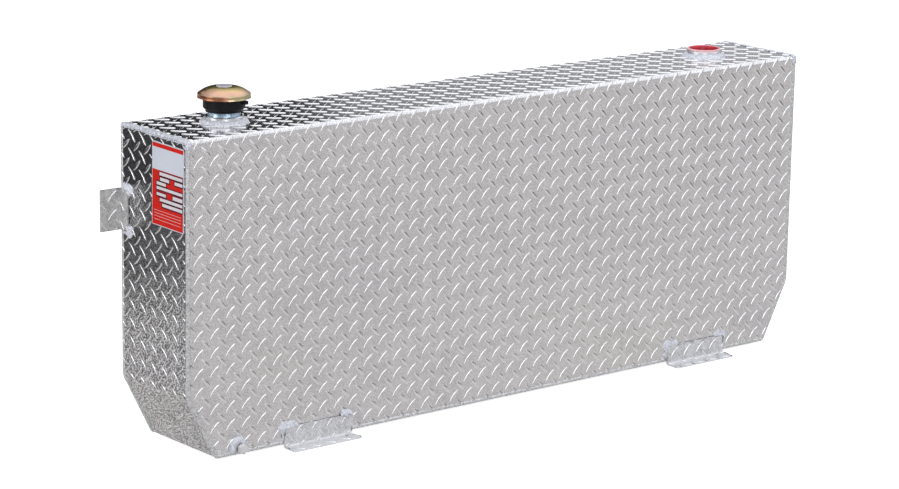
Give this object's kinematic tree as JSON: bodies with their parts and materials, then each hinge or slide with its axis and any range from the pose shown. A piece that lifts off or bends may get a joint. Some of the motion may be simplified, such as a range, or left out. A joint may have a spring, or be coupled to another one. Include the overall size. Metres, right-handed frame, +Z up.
{
  "type": "truck bed transfer tank",
  "caption": "Tall narrow welded tread plate fuel tank with bottom corners cut off, a raised locking filler cap, a plugged pump port, a drain plug, feet and end brackets.",
  "frame": {"origin": "on the truck bed, under the middle of the tank: the centre of the box's underside", "axes": "+Z up, +X along the tank from the filler's end to the pump port's end, front (drain side) at -Y"},
  "size_m": [1.6508, 0.2898, 0.6879],
  "materials": {
    "tread_sheet": "bright rolled tread plate",
    "plain_sheet": "mill",
    "weld_bead": "as welded",
    "angle_sheet": "mill",
    "bung_metal": "turned",
    "galvanised_pipe": "galvanised",
    "black_casting": "satin black",
    "gasket_rubber": "matte",
    "plated_steel": "yellow zinc",
    "spring_steel": "plain",
    "gold_plating": "yellow zinc, worn",
    "rivet_metal": "bright",
    "red_plastic": "moulded",
    "drain_metal": "dull",
    "tag_film": "printed colour fields"
  },
  "bodies": {
    "tank": {"baffle_1": "plain_sheet", "baffle_2": "plain_sheet", "baffle_3": "plain_sheet", "bracket_left": "angle_sheet", "bracket_left_weld_bottom": "weld_bead", "bracket_left_weld_top": "weld_bead", "bracket_right": "angle_sheet", "bracket_right_weld_bottom": "weld_bead", "bracket_right_weld_top": "weld_bead", "cap_base": "black_casting", "data_tag": "tag_film", "drain_bung": "bung_metal", "drain_bung_weld": "weld_bead", "end_wrap": "tread_sheet", "filler_bung": "bung_metal", "filler_bung_weld": "weld_bead", "filler_nipple": "galvanised_pipe", "foot_back_left": "angle_sheet", "foot_back_left_weld_1": "weld_bead", "foot_back_left_weld_2": "weld_bead", "foot_back_right": "angle_sheet", "foot_back_right_weld_1": "weld_bead", "foot_back_right_weld_2": "weld_bead", "foot_front_left": "angle_sheet", "foot_front_left_weld_1": "weld_bead", "foot_front_left_weld_2": "weld_bead", "foot_front_right": "angle_sheet", "foot_front_right_weld_1": "weld_bead", "foot_front_right_weld_2": "weld_bead", "port_bung": "bung_metal", "port_bung_weld": "weld_bead", "saddle_shell": "tread_sheet", "seam_weld_back": "weld_bead", "seam_weld_front": "weld_bead", "seam_weld_left": "weld_bead", "seam_weld_right": "weld_bead"},
    "cap_seal": {"cap_gasket": "gasket_rubber", "cap_seal_plate": "plated_steel", "cap_spring": "spring_steel"},
    "cap_top": {"cap_dome": "gold_plating", "cap_lock_bar": "plated_steel", "cap_rivet": "rivet_metal"},
    "port_plug": {"port_plug": "red_plastic"},
    "drain_plug": {"drain_plug": "drain_metal"}
  },
  "joints": [
    {"name": "cap_lift", "type": "slide", "parent": "tank", "child": "cap_seal", "axis": [0, 0, 1], "range_m": [0, 0.09]},
    {"name": "cap_turn", "type": "hinge", "parent": "cap_seal", "child": "cap_top", "pos_m": [-0.619, 0, 0.6685], "axis": [0, 0, 1], "range_deg": [-50, 0]},
    {"name": "port_plug_out", "type": "slide", "parent": "tank", "child": "port_plug", "axis": [0, 0, 1], "range_m": [0, 0.06]},
    {"name": "drain_plug_out", "type": "slide", "parent": "tank", "child": "drain_plug", "axis": [0, -1, 0], "range_m": [0, 0.04]}
  ]
}
